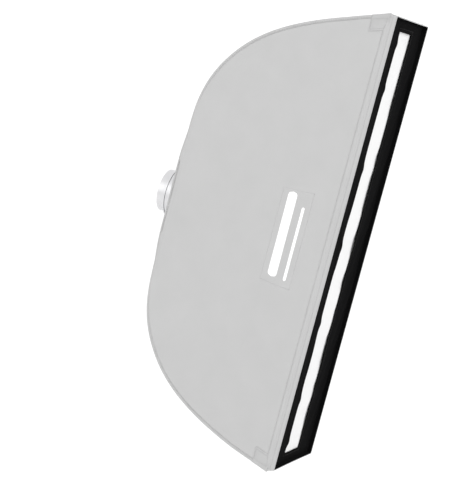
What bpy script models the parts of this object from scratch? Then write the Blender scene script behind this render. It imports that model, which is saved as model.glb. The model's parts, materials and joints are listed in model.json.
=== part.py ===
"""Strip softbox: a four-rod fabric light box on a rotating speedring, with inner baffle, front diffuser
and strip mask, plus the clamping adapter that grips a flash head.

Frame: the origin is the centre of the adapter's rear face. -Y is the way the light leaves, X is the
short side and +Z the long side. All lengths are in metres.
"""

import math

import bmesh
import bpy
from mathutils import Vector

# Front opening, at the forward edge of the lip
LIP_HALF_X = 0.150
LIP_HALF_Z = 0.600
LIP_DEPTH = 0.018

# Shell, from the rear edge of the fabric to the plane of the rod corners
CORNER_X = 0.153
CORNER_Z = 0.607
REAR_X = 0.088
REAR_Z = 0.100
REAR_Y = -0.050
SHELL_DEPTH = 0.485
CORNER_Y = REAR_Y - SHELL_DEPTH
LIP_Y = CORNER_Y - LIP_DEPTH

# Corner seam in side view, as Bezier points (height, distance behind the rod corners)
SEAM_CURVE = ((CORNER_Z, 0.0), (0.528, 0.318), (0.447, 0.473), (REAR_Z, SHELL_DEPTH))

FABRIC = 0.0012
LIP_THICKNESS = 0.0015
LIP_SEAM_GAP = 0.0020
LIP_TAPE_SETBACK = 0.0010
TAPE = 0.0008
GAP = 0.0003
SEAM_GAP = FABRIC + 0.0006
SIDE_BOW = 0.010
END_BOW = 0.008
CUFF_CLEARANCE = 0.001
POCKET_LEG = 0.040
POCKET_T = 0.047
POCKET_THICKNESS = 0.0015
LABEL_T = (0.078, 0.185)
LABEL_SHARES = (-0.23, 0.21)
LABEL_PROUD = 0.0005
LABEL_THICKNESS = 0.0005

# Rods and the swivelling sockets that hold them
ROD_R = 0.003
ROD_INSET_FRONT = 0.008
ROD_INSET_REAR = 0.0165
ROD_FIRST_T = 0.037
ROD_TIP_X = 0.1445
PIVOT_X = 0.070
PIVOT_Z = 0.078
SOCKET_R = 0.006
SOCKET_BACK = 0.008
SOCKET_REACH = 0.042
SOCKET_BORE_R = ROD_R + 0.0004
SOCKET_FLOOR = 0.008
PIN_R = 0.002
PIN_HOLE_R = PIN_R + 0.0003
PIN_HEAD_R = 0.0035
PIN_HEAD = 0.0014
CUT_PAST = 0.005
TIP_R = 0.0046
TIP_LENGTH = 0.020
TIP_OVERHANG = 0.012

# Adapter and speedring, as radii and distances in front of the adapter's rear face
HEAD_BORE_R = 0.0505
COLLAR_R = 0.0580
COLLAR_BORE_R = 0.0542
COLLAR_LENGTH = 0.0745
STOP_RING_R = 0.0680
THRUST_RING = (0.0235, 0.0275)
RING_BORE_R = COLLAR_R + 0.0005
RING_HUB_R = 0.0665
RING_DISC_R = 0.0780
RING_REAR = 0.0280
RING_DISC_REAR = 0.0530
RING_FRONT = 0.0680
ARM_FROM_REAR = (0.0540, 0.0570)
ARM_WIDTH = 0.014
ARM_PAST_PIVOT = 0.007
ARM_ROOT_IN_DISC = 0.004
RETAINER = (RING_FRONT + 0.0005, RING_FRONT + 0.0045)
LOCK_AT = 0.0385
LOCK_SCREW_R = 0.0028
LOCK_BOSS_R = 0.0075
LOCK_BOSS_END = RING_HUB_R + 0.008
LOCK_BOSS_LENGTH = 0.012
LOCK_KNOB_R = 0.0090
LOCK_KNOB_LENGTH = 0.014
LOCK_KNOB_BORE = 0.0065

# Clamp of the split collar: two ears on +X, drawn together by a bolt along Z
CLAMP_AT = 0.011
CLAMP_REACH = 0.068
CLAMP_BOLT_R = 0.0025
CLAMP_KNOB_R = 0.0085
CLAMP_KNOB_LENGTH = 0.018
CLAMP_KNOB_BORE = 0.0070
BOLT_PAST_NUT = 0.0015
EAR_THICK = 0.008
EAR_DEEP = 0.016
EAR_REACH = 0.021
SLIT = 0.003
EAR_SUNK = 0.002
LINING_SETBACK = 0.002
NUT_R = 0.0055
NUT_THICK = 0.0045

# Parts stretched across the front
MASK_HALF_X = 0.1466
MASK_HALF_Z = 0.5966
MASK_RECESS = 0.0125
SLOT_HALF_X = 0.053
SLOT_HALF_Z = 0.572
MASK_FLAP_SETBACK = 0.0008
DIFFUSER_HALF_X = 0.1460
DIFFUSER_HALF_Z = 0.5945
DIFFUSER_SETBACK = 0.0230
DIFFUSER_THICKNESS = 0.0010
DIFFUSER_BAND = (0.0003, 0.0083)
DIFFUSER_TAPE_OUT = (0.0040, 0.0030)
DIFFUSER_TAPE_THICKNESS = 0.0025
BAFFLE_HALF_X = 0.118
BAFFLE_HALF_Z = 0.510
BAFFLE_THICKNESS = 0.0010
BAFFLE_T = 0.205
STRAP_SHARES = (0.66, 0.78)
STRAP_OVERLAP = 0.030
STRAP_THICKNESS = 0.0010
STRAP_TAB_T = 0.037
PATCH_T = (0.040, 0.005)

ALONG_X = (0.0, math.pi / 2, 0.0)
ALONG_Y = (math.pi / 2, 0.0, 0.0)
ALONG_Z = (0.0, 0.0, 0.0)
CORNERS = {
    "left_top": (-1, 1),
    "right_top": (1, 1),
    "left_bottom": (-1, -1),
    "right_bottom": (1, -1),
}

COLOURS = {
    "shell_fabric": ((0.60, 0.60, 0.60), 0.85, 0.0),
    "black_fabric": ((0.012, 0.012, 0.012), 0.90, 0.0),
    "white_fabric": ((0.85, 0.85, 0.85), 0.80, 0.0),
    "grey_metal": ((0.55, 0.55, 0.56), 0.35, 0.6),
    "rod_steel": ((0.45, 0.45, 0.46), 0.30, 0.9),
    "grey_plastic": ((0.42, 0.42, 0.43), 0.45, 0.0),
    "grey_rubber": ((0.20, 0.20, 0.20), 0.80, 0.0),
    "marker_plastic": ((0.10, 0.25, 0.55), 0.45, 0.0),
}


def clear_scene():
    for obj in list(bpy.data.objects):
        bpy.data.objects.remove(obj, do_unlink=True)


def new_collection(name):
    collection = bpy.data.collections.new(name)
    bpy.context.scene.collection.children.link(collection)
    return collection


clear_scene()
PARTS = new_collection("strip_softbox")
CUTTERS = new_collection("cutters")


def material(name):
    found = bpy.data.materials.get(name)
    if found:
        return found
    colour, roughness, metallic = COLOURS[name]
    made = bpy.data.materials.new(name)
    made.use_nodes = True
    shader = made.node_tree.nodes["Principled BSDF"]
    shader.inputs["Base Color"].default_value = (*colour, 1.0)
    shader.inputs["Roughness"].default_value = roughness
    shader.inputs["Metallic"].default_value = metallic
    return made


def into(obj, collection):
    for other in list(obj.users_collection):
        other.objects.unlink(obj)
    collection.objects.link(obj)
    return obj


def finish_part(obj, name, finish):
    """Names a visible part and gives it its material."""
    obj.name = name
    obj.data.name = name
    obj.data.materials.clear()
    obj.data.materials.append(material(finish))
    return into(obj, PARTS)


def as_helper(obj, name):
    """Turns an object into a hidden tool for a Boolean."""
    obj.name = name
    obj.hide_render = True
    obj.display_type = "WIRE"
    return into(obj, CUTTERS)


def boolean(obj, tool, operation):
    modifier = obj.modifiers.new(tool.name, "BOOLEAN")
    modifier.operation = operation
    modifier.solver = "EXACT"
    modifier.object = tool


def smooth(obj):
    obj.data.shade_smooth()
    obj.data.set_sharp_from_angle(angle=math.radians(35))
    return obj


def box(size, location, rotation=ALONG_Z):
    bpy.ops.mesh.primitive_cube_add(size=1, location=location, rotation=rotation)
    obj = bpy.context.object
    obj.scale = size
    bpy.ops.object.transform_apply(location=False, rotation=False, scale=True)
    return obj


def rod_shape(radius, length, location, rotation, sides=24):
    bpy.ops.mesh.primitive_cylinder_add(
        vertices=sides, radius=radius, depth=length, location=location, rotation=rotation
    )
    return smooth(bpy.context.object)


def turned(profile, location=(0.0, 0.0, 0.0), rotation=ALONG_Y, steps_round=72, closed=True):
    """A profile of (radius, height) points turned about the object's own Z.

    Turned with ALONG_Y, a height is a distance in front of the adapter's rear face. A profile that is
    not closed starts and ends on the axis.
    """
    mesh = bpy.data.meshes.new("turned")
    points = [(radius, 0.0, height) for radius, height in profile]
    edge_count = len(points) if closed else len(points) - 1
    edges = [(i, (i + 1) % len(points)) for i in range(edge_count)]
    mesh.from_pydata(points, edges, [])
    obj = bpy.data.objects.new("turned", mesh)
    PARTS.objects.link(obj)
    obj.location = location
    obj.rotation_euler = rotation
    screw = obj.modifiers.new("turn", "SCREW")
    screw.axis = "Z"
    screw.steps = steps_round
    screw.render_steps = steps_round
    screw.use_merge_vertices = True
    screw.merge_threshold = 0.00005
    screw.use_smooth_shade = True
    return obj


def sleeve(outer_r, inner_r, low, high):
    """Profile of a plain ring, run down its outer side first."""
    return ((outer_r, high), (outer_r, low), (inner_r, low), (inner_r, high))


def fabric_sheet(name, rows, outward, finish, thickness=FABRIC, grow_out=False):
    """A sheet lofted through rows of points, thickened away from its outer or inner face."""
    shape = bmesh.new()
    grid = [[shape.verts.new(point) for point in row] for row in rows]
    for near, far in zip(grid, grid[1:]):
        for a, b, c, d in zip(near, near[1:], far[1:], far):
            shape.faces.new((a, b, c, d))
    shape.normal_update()
    shape.faces.ensure_lookup_table()
    if shape.faces[len(shape.faces) // 2].normal.dot(Vector(outward)) < 0:
        bmesh.ops.reverse_faces(shape, faces=shape.faces)
    mesh = bpy.data.meshes.new(name)
    shape.to_mesh(mesh)
    shape.free()
    obj = bpy.data.objects.new(name, mesh)
    PARTS.objects.link(obj)
    smooth(obj)
    solid = obj.modifiers.new("thickness", "SOLIDIFY")
    solid.thickness = thickness
    solid.offset = 1.0 if grow_out else -1.0
    solid.use_even_offset = True
    return finish_part(obj, name, finish)


def frame_band(name, rear, front, finish, thickness):
    """A four-sided band between two rectangles given as (half x, half z, y), thickened inwards."""
    shape = bmesh.new()
    loops = []
    for half_x, half_z, y in (rear, front):
        ring = ((-half_x, -half_z), (half_x, -half_z), (half_x, half_z), (-half_x, half_z))
        loops.append([shape.verts.new((x, y, z)) for x, z in ring])
    for i in range(4):
        j = (i + 1) % 4
        shape.faces.new((loops[0][j], loops[0][i], loops[1][i], loops[1][j]))
    shape.normal_update()
    shape.faces.ensure_lookup_table()
    if shape.faces[0].normal.z > 0:
        bmesh.ops.reverse_faces(shape, faces=shape.faces)
    mesh = bpy.data.meshes.new(name)
    shape.to_mesh(mesh)
    shape.free()
    obj = bpy.data.objects.new(name, mesh)
    PARTS.objects.link(obj)
    solid = obj.modifiers.new("thickness", "SOLIDIFY")
    solid.thickness = thickness
    solid.offset = -1.0
    solid.use_even_offset = True
    return finish_part(obj, name, finish)


def cut_plate(name, outlines, y_middle, thickness, finish):
    """A flat plate facing Y, bounded by closed outlines of (x, z) points; inner ones are holes."""
    curve = bpy.data.curves.new(name, "CURVE")
    curve.dimensions = "2D"
    curve.fill_mode = "BOTH"
    curve.extrude = thickness / 2
    for outline in outlines:
        spline = curve.splines.new("POLY")
        spline.points.add(len(outline) - 1)
        for point, (x, z) in zip(spline.points, outline):
            point.co = (x, z, 0.0, 1.0)
        spline.use_cyclic_u = True
    obj = bpy.data.objects.new(name, curve)
    PARTS.objects.link(obj)
    obj.location = (0.0, y_middle, 0.0)
    obj.rotation_euler = ALONG_Y
    return finish_part(obj, name, finish)


def rectangle(half_x, half_z):
    return ((-half_x, -half_z), (half_x, -half_z), (half_x, half_z), (-half_x, half_z))


def circle(radius, sides=72):
    turn = 2 * math.pi / sides
    return [(radius * math.cos(i * turn), radius * math.sin(i * turn)) for i in range(sides)]


def tube(name, points, radius, finish):
    curve = bpy.data.curves.new(name, "CURVE")
    curve.dimensions = "3D"
    curve.bevel_depth = radius
    curve.bevel_resolution = 2
    curve.use_fill_caps = True
    spline = curve.splines.new("POLY")
    spline.points.add(len(points) - 1)
    for target, point in zip(spline.points, points):
        target.co = (*point, 1.0)
    obj = bpy.data.objects.new(name, curve)
    PARTS.objects.link(obj)
    return finish_part(obj, name, finish)


def pointing(direction):
    """Rotation that turns an object's own Z onto a direction."""
    return Vector(direction).to_track_quat("Z", "Y").to_euler()


# ---- The corner seam and the surfaces stretched between its four copies


def seam(t, inset=0.0):
    """(height, y) of the corner seam, from the rod corner at t 0 to the rear edge at t 1."""
    k = 1 - t
    weights = (k**3, 3 * k * k * t, 3 * k * t * t, t**3)
    slopes = (-k * k, k * k - 2 * k * t, 2 * k * t - t * t, t * t)
    height = sum(w * p[0] for w, p in zip(weights, SEAM_CURVE))
    behind = sum(w * p[1] for w, p in zip(weights, SEAM_CURVE))
    along = Vector([sum(s * p[i] for s, p in zip(slopes, SEAM_CURVE)) for i in (0, 1)])
    along.normalize()
    return height - inset * along.y, CORNER_Y + behind + inset * along.x


def seam_x(height):
    """Half width of the shell where its corner seam is this high."""
    return REAR_X + (height - REAR_Z) * (CORNER_X - REAR_X) / (CORNER_Z - REAR_Z)


def steps(count, low=0.0, high=1.0):
    return [low + (high - low) * i / count for i in range(count + 1)]


def side_point(side, t, height_share, proud=0.0):
    """A point of a long side panel. height_share runs from -1 to 1 between the two end panels."""
    full_height, _ = seam(t)
    height, y = seam(t, SEAM_GAP)
    bow = SIDE_BOW * math.sin(math.pi * t) * (1 - height_share**2)
    return (side * (seam_x(full_height) - bow + proud), y, height_share * height)


def end_point(end, t, width_share, inset=0.0):
    """A point this far inside the outer face of a short end panel.

    width_share runs from -1 to 1 between the two side panels.
    """
    bow = END_BOW * math.sin(math.pi * t) * (1 - width_share**2)
    height, y = seam(t, bow + inset)
    return (width_share * seam_x(seam(t)[0]), y, end * height)


def build_shell():
    for name, side in (("left", -1), ("right", 1)):
        rows = [[side_point(side, t, v) for v in steps(10, -1, 1)] for t in steps(18)]
        fabric_sheet(f"{name}_side_panel", rows, (side, 0, 0), "shell_fabric")
    for name, end in (("top", 1), ("bottom", -1)):
        rows = [[end_point(end, t, u) for u in steps(8, -1, 1)] for t in steps(18)]
        fabric_sheet(f"{name}_end_panel", rows, (0, 1, end), "shell_fabric")
    cut_plate(
        "rear_cuff",
        (rectangle(REAR_X - FABRIC - GAP, REAR_Z - GAP), circle(RING_HUB_R + CUFF_CLEARANCE)),
        REAR_Y - FABRIC,
        FABRIC,
        "shell_fabric",
    )
    rows = [
        [side_point(-1, t, v, LABEL_PROUD) for v in steps(6, *LABEL_SHARES)]
        for t in steps(4, *LABEL_T)
    ]
    fabric_sheet("label_patch", rows, (-1, 0, 0), "shell_fabric", LABEL_THICKNESS, grow_out=True)


def build_lip():
    """Forward lip, the loop tape inside it for the mask and the one behind it for the diffuser."""
    frame_band(
        "front_lip",
        (CORNER_X, CORNER_Z, CORNER_Y - LIP_SEAM_GAP),
        (LIP_HALF_X, LIP_HALF_Z, LIP_Y),
        "shell_fabric",
        LIP_THICKNESS,
    )
    inset = LIP_THICKNESS + GAP
    frame_band(
        "lip_loop_tape",
        (CORNER_X - inset, CORNER_Z - inset, CORNER_Y - LIP_SEAM_GAP + GAP),
        (LIP_HALF_X - inset, LIP_HALF_Z - inset, LIP_Y + LIP_TAPE_SETBACK),
        "black_fabric",
        TAPE,
    )
    half_x = DIFFUSER_HALF_X + DIFFUSER_TAPE_OUT[0]
    half_z = DIFFUSER_HALF_Z + DIFFUSER_TAPE_OUT[1]
    front, rear = (diffuser_rear_y() + d for d in DIFFUSER_BAND)
    frame_band(
        "diffuser_loop_tape",
        (half_x, half_z, rear),
        (half_x, half_z, front),
        "black_fabric",
        DIFFUSER_TAPE_THICKNESS,
    )


def build_corner_pocket(name, sx, sz):
    """Reinforcing patch wrapped round the fabric corner that takes the rod's end."""
    clear = 2 * GAP
    rows = []
    for t in steps(4, 0.0, POCKET_T):
        height, y = seam(t)
        half_x = seam_x(height) + clear
        height += clear
        rows.append(
            [
                (sx * (half_x - POCKET_LEG), y, sz * height),
                (sx * half_x, y, sz * height),
                (sx * half_x, y, sz * (height - POCKET_LEG)),
            ]
        )
    outward = (sx, 0, sz)
    fabric_sheet(
        f"corner_pocket_{name}", rows, outward, "shell_fabric", POCKET_THICKNESS, grow_out=True
    )


# ---- Rods, tips and sockets


def rod_xz_slope():
    return (ROD_TIP_X - PIVOT_X) / (seam(0.0, ROD_INSET_FRONT)[0] - PIVOT_Z)


def rod_point(t):
    inset = ROD_INSET_FRONT + (ROD_INSET_REAR - ROD_INSET_FRONT) * t
    height, y = seam(t, inset)
    return Vector((PIVOT_X + (height - PIVOT_Z) * rod_xz_slope(), y, height))


def socket_axis():
    """Pivot point and direction of the socket at positive X and Z, in line with the rod's rear end."""
    end = rod_point(1.0)
    (z2, b2), (z3, b3) = SEAM_CURVE[2:]
    direction = Vector((rod_xz_slope(), (b2 - b3) / (z2 - z3), 1.0)).normalized()
    pivot = end - direction * ((end.z - PIVOT_Z) / direction.z)
    return pivot, direction


def flipped(vector, sx, sz):
    return Vector((sx * vector.x, vector.y, sz * vector.z))


def build_rod(name, sx, sz):
    pivot, direction = socket_axis()
    points = [rod_point(t) for t in steps(28, ROD_FIRST_T, 1.0)]
    points.append(pivot + direction * (SOCKET_FLOOR + 0.001))
    points = [flipped(point, sx, sz) for point in points]
    tube(f"rod_{name}", points, ROD_R, "rod_steel")

    out = (points[0] - points[1]).normalized()
    foot = points[0] - out * (TIP_LENGTH - TIP_OVERHANG)
    bore_r = ROD_R + GAP
    bore_end = TIP_LENGTH - TIP_OVERHANG + GAP
    profile = (
        (0.0, TIP_LENGTH),
        (TIP_R * 0.6, TIP_LENGTH),
        (TIP_R, TIP_LENGTH - 0.003),
        (TIP_R, 0.0),
        (bore_r, 0.0),
        (bore_r, bore_end),
        (0.0, bore_end),
    )
    tip = turned(profile, foot, pointing(out), 24, closed=False)
    finish_part(tip, f"rod_tip_{name}", "marker_plastic")


def build_socket(name, sx, sz):
    pivot, direction = socket_axis()
    pivot = flipped(pivot, sx, sz)
    direction = flipped(direction, sx, sz)
    turn = pointing(direction)
    length = SOCKET_BACK + SOCKET_REACH
    body = rod_shape(SOCKET_R, length, pivot + direction * (length / 2 - SOCKET_BACK), turn)
    bore_length = SOCKET_REACH - SOCKET_FLOOR
    bore_at = pivot + direction * (SOCKET_FLOOR + bore_length / 2 + CUT_PAST)
    bore = rod_shape(SOCKET_BORE_R, bore_length + 2 * CUT_PAST, bore_at, turn)
    boolean(body, as_helper(bore, f"cut_socket_bore_{name}"), "DIFFERENCE")
    hole = rod_shape(PIN_HOLE_R, 2 * (SOCKET_R + CUT_PAST), pivot, ALONG_Y)
    boolean(body, as_helper(hole, f"cut_socket_pin_{name}"), "DIFFERENCE")
    finish_part(body, f"rod_socket_{name}", "grey_plastic")

    rear = ARM_FROM_REAR[0] - PIN_HEAD
    front = -pivot.y + SOCKET_R + PIN_HEAD + GAP
    under_head = front - PIN_HEAD
    profile = (
        (0.0, front),
        (PIN_HEAD_R, front),
        (PIN_HEAD_R, under_head),
        (PIN_R, under_head),
        (PIN_R, rear),
        (0.0, rear),
    )
    pin = turned(profile, (pivot.x, 0.0, pivot.z), ALONG_Y, 24, closed=False)
    finish_part(pin, f"socket_pin_{name}", "rod_steel")


# ---- Speedring and adapter


def build_speedring():
    profile = (
        (RING_DISC_R, RING_FRONT),
        (RING_DISC_R, RING_DISC_REAR),
        (RING_HUB_R, RING_DISC_REAR),
        (RING_HUB_R, RING_REAR),
        (RING_BORE_R, RING_REAR),
        (RING_BORE_R, RING_FRONT),
    )
    ring = turned(profile)
    pivot, _ = socket_axis()
    reach = math.hypot(pivot.x, pivot.z) + ARM_PAST_PIVOT
    inner = RING_HUB_R + ARM_ROOT_IN_DISC
    arm_rear, arm_front = ARM_FROM_REAR
    arm_y = -(arm_rear + arm_front) / 2
    for name, (sx, sz) in CORNERS.items():
        way = Vector((sx * pivot.x, 0.0, sz * pivot.z)).normalized()
        middle = way * (inner + reach) / 2
        arm = box(
            (ARM_WIDTH, arm_front - arm_rear, reach - inner),
            (middle.x, arm_y, middle.z),
            (0.0, math.atan2(way.x, way.z), 0.0),
        )
        boolean(ring, as_helper(arm, f"join_arm_{name}"), "UNION")
        depth = 2 * (arm_front - arm_rear)
        hole = rod_shape(PIN_HOLE_R, depth, (sx * pivot.x, arm_y, sz * pivot.z), ALONG_Y)
        boolean(ring, as_helper(hole, f"cut_arm_pin_{name}"), "DIFFERENCE")
    boss_x = LOCK_BOSS_END - LOCK_BOSS_LENGTH / 2
    boss = rod_shape(LOCK_BOSS_R, LOCK_BOSS_LENGTH, (boss_x, -LOCK_AT, 0.0), ALONG_X)
    boolean(ring, as_helper(boss, "join_lock_boss"), "UNION")
    hole = rod_shape(LOCK_SCREW_R + GAP, 3 * LOCK_BOSS_LENGTH, (boss_x, -LOCK_AT, 0.0), ALONG_X)
    boolean(ring, as_helper(hole, "cut_lock_hole"), "DIFFERENCE")
    finish_part(ring, "speedring", "grey_metal")


def build_lock_screw():
    """Thumb screw through the speedring that stops it turning on the adapter."""
    inner = RING_BORE_R + GAP
    knob_inner = LOCK_BOSS_END + 2 * GAP
    outer = knob_inner + LOCK_KNOB_BORE - GAP
    stem = rod_shape(LOCK_SCREW_R, outer - inner, ((inner + outer) / 2, -LOCK_AT, 0.0), ALONG_X)
    finish_part(stem, "lock_screw", "rod_steel")
    bore_r = LOCK_SCREW_R + GAP
    knob = fluted_knob("lock_knob", LOCK_KNOB_R, LOCK_KNOB_LENGTH, bore_r, LOCK_KNOB_BORE)
    knob.location = (knob_inner, -LOCK_AT, 0.0)
    knob.rotation_euler = ALONG_X


def fluted_knob(name, radius, length, bore_r, bore_depth):
    """A grip knob standing on its own origin along Z, with six finger flutes and a blind bore."""
    profile = (
        (0.0, length),
        (radius * 0.86, length),
        (radius, length - 0.0018),
        (radius, 0.0015),
        (radius * 0.80, 0.0),
        (bore_r, 0.0),
        (bore_r, bore_depth),
        (0.0, bore_depth),
    )
    knob = turned(profile, (0.0, 0.0, 0.0), ALONG_Z, 36, closed=False)
    flutes = 6
    for i in range(flutes):
        angle = 2 * math.pi * (i + 0.5) / flutes
        reach = radius * 1.17
        flute = rod_shape(
            radius * 0.36,
            length * 3,
            (reach * math.cos(angle), reach * math.sin(angle), 0.0),
            ALONG_Z,
            16,
        )
        flute.parent = knob
        boolean(knob, as_helper(flute, f"cut_{name}_{i}"), "DIFFERENCE")
    return finish_part(knob, name, "grey_plastic")


def build_adapter():
    """Split collar that grips the flash head, its rubber lining, the stop rings and the clamp."""
    collar = turned(sleeve(COLLAR_R, COLLAR_BORE_R, 0.0, COLLAR_LENGTH))
    ear_x = COLLAR_R - EAR_SUNK + EAR_REACH / 2
    for name, end in (("upper", 1), ("lower", -1)):
        ear_at = (ear_x, -CLAMP_AT, end * (SLIT + EAR_THICK) / 2)
        ear = box((EAR_REACH, EAR_DEEP, EAR_THICK), ear_at)
        boolean(collar, as_helper(ear, f"join_ear_{name}"), "UNION")
    slit_depth = CLAMP_AT + EAR_DEEP / 2 + EAR_SUNK
    slit = box((2 * EAR_REACH, 2 * slit_depth, SLIT), (COLLAR_R + EAR_REACH / 2, 0.0, 0.0))
    boolean(collar, as_helper(slit, "cut_collar_slit"), "DIFFERENCE")
    hole_r = CLAMP_BOLT_R + GAP
    hole = rod_shape(hole_r, 4 * EAR_THICK, (CLAMP_REACH, -CLAMP_AT, 0.0), ALONG_Z)
    boolean(collar, as_helper(hole, "cut_clamp_hole"), "DIFFERENCE")
    finish_part(collar, "adapter_collar", "grey_metal")

    lining_span = (LINING_SETBACK, COLLAR_LENGTH - LINING_SETBACK)
    lining = turned(sleeve(COLLAR_BORE_R - GAP, HEAD_BORE_R, *lining_span))
    finish_part(lining, "rubber_lining", "grey_rubber")
    for name, span in (("thrust_ring", THRUST_RING), ("retaining_ring", RETAINER)):
        stop = turned(sleeve(STOP_RING_R, COLLAR_R + GAP, *span))
        finish_part(stop, name, "grey_metal")

    ear_end = SLIT / 2 + EAR_THICK
    nut_z = -ear_end - GAP - NUT_THICK / 2
    nut = rod_shape(NUT_R, NUT_THICK, (CLAMP_REACH, -CLAMP_AT, nut_z), ALONG_Z, 6)
    hole = rod_shape(hole_r, 3 * NUT_THICK, (CLAMP_REACH, -CLAMP_AT, nut_z), ALONG_Z)
    boolean(nut, as_helper(hole, "cut_nut_hole"), "DIFFERENCE")
    finish_part(nut, "clamp_nut", "rod_steel")

    low = nut_z - NUT_THICK / 2 - BOLT_PAST_NUT
    high = ear_end + CLAMP_KNOB_BORE
    bolt_at = (CLAMP_REACH, -CLAMP_AT, (low + high) / 2)
    bolt = rod_shape(CLAMP_BOLT_R, high - low, bolt_at, ALONG_Z)
    finish_part(bolt, "clamp_bolt", "rod_steel")
    knob = fluted_knob("clamp_knob", CLAMP_KNOB_R, CLAMP_KNOB_LENGTH, hole_r, CLAMP_KNOB_BORE)
    knob.location = (CLAMP_REACH, -CLAMP_AT, ear_end + GAP)


# ---- Mask, diffuser and baffle


def build_mask():
    """Strip mask and the flap round it that grips the loop tape inside the lip."""
    front = LIP_Y + MASK_RECESS
    cut_plate(
        "strip_mask",
        (rectangle(MASK_HALF_X, MASK_HALF_Z), rectangle(SLOT_HALF_X, SLOT_HALF_Z)),
        front + FABRIC / 2,
        FABRIC,
        "black_fabric",
    )
    frame_band(
        "mask_hook_flap",
        (MASK_HALF_X, MASK_HALF_Z, front - GAP),
        (MASK_HALF_X, MASK_HALF_Z, LIP_Y + MASK_FLAP_SETBACK),
        "black_fabric",
        FABRIC,
    )


def diffuser_rear_y():
    return LIP_Y + DIFFUSER_SETBACK + DIFFUSER_THICKNESS


def build_diffuser():
    """Front diffuser and the hook tape round its back."""
    rear_y = diffuser_rear_y()
    diffuser = box(
        (2 * DIFFUSER_HALF_X, DIFFUSER_THICKNESS, 2 * DIFFUSER_HALF_Z),
        (0.0, rear_y - DIFFUSER_THICKNESS / 2, 0.0),
    )
    finish_part(diffuser, "front_diffuser", "white_fabric")
    front, rear = (rear_y + d for d in DIFFUSER_BAND)
    frame_band(
        "diffuser_hook_tape",
        (DIFFUSER_HALF_X, DIFFUSER_HALF_Z, rear),
        (DIFFUSER_HALF_X, DIFFUSER_HALF_Z, front),
        "white_fabric",
        FABRIC,
    )


def build_baffle():
    """Inner baffle and the four elastic straps that fold forward onto patches inside the end panels."""
    patch_in = FABRIC + TAPE
    strap_in = patch_in + TAPE + GAP
    strap_y = end_point(1, BAFFLE_T, sum(STRAP_SHARES) / 2, strap_in)[1]
    baffle = box(
        (2 * BAFFLE_HALF_X, BAFFLE_THICKNESS, 2 * BAFFLE_HALF_Z),
        (0.0, strap_y + GAP + BAFFLE_THICKNESS / 2, 0.0),
    )
    finish_part(baffle, "inner_baffle", "white_fabric")
    for name, (sx, sz) in CORNERS.items():
        shares = [sx * u for u in steps(2, *STRAP_SHARES)]
        patch = [
            [end_point(sz, t, u, patch_in) for u in shares]
            for t in steps(3, *(BAFFLE_T - back for back in PATCH_T))
        ]
        fabric_sheet(f"baffle_patch_{name}", patch, (0, 0, sz), "black_fabric", TAPE)
        tab = [
            [end_point(sz, t, u, strap_in) for u in shares]
            for t in steps(3, BAFFLE_T - STRAP_TAB_T, BAFFLE_T)
        ]
        fold = [(x, strap_y, z - 2 * sz * GAP) for x, _, z in tab.pop()]
        root = [(x, strap_y, sz * (BAFFLE_HALF_Z - STRAP_OVERLAP)) for x, _, _ in fold]
        rows = [root, fold] + tab[::-1]
        inward = (0, 0, -sz)
        fabric_sheet(
            f"baffle_strap_{name}", rows, inward, "black_fabric", STRAP_THICKNESS, grow_out=True
        )


build_adapter()
build_speedring()
build_lock_screw()
for corner, (x_sign, z_sign) in CORNERS.items():
    build_socket(corner, x_sign, z_sign)
    build_rod(corner, x_sign, z_sign)
    build_corner_pocket(corner, x_sign, z_sign)
build_shell()
build_lip()
build_mask()
build_diffuser()
build_baffle()
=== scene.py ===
"""Looks of the strip softbox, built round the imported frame.

The frame's axes are kept, in metres: light leaves towards -Y, X is the short side and Z the long one.
Fabric is lofted or simulated here, in the place of the frame's plain sheets. The hard parts keep the
frame's shapes: most are copies whose sharp edges are broken, the others are the frame's own nodes.
"""

import json
import math

import bmesh
import bpy
from mathutils import Matrix, Vector, noise


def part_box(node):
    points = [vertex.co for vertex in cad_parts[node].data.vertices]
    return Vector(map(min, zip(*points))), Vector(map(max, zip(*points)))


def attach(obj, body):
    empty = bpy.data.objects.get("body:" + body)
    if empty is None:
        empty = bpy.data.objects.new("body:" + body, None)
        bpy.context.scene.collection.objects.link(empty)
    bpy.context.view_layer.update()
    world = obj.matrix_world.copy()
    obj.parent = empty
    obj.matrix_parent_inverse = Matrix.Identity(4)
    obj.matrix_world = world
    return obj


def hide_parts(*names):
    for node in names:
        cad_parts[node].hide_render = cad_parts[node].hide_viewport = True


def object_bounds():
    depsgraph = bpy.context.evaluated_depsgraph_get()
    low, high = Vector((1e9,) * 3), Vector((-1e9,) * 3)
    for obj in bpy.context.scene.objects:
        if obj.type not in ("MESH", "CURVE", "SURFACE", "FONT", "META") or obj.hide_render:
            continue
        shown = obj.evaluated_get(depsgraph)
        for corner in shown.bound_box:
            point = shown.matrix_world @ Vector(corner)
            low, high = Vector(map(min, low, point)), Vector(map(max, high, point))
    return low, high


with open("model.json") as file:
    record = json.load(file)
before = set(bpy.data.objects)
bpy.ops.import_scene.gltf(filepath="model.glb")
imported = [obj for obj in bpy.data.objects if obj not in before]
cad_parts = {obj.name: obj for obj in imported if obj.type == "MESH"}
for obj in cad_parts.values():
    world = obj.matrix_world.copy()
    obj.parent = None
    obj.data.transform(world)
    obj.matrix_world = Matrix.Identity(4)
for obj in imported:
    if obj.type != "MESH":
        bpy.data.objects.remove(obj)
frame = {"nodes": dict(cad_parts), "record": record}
CAD_BOX = [list(corner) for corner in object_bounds()]
FORWARD = Vector((0, -1, 0))

# ---- Places read from the frame, and sizes

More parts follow.
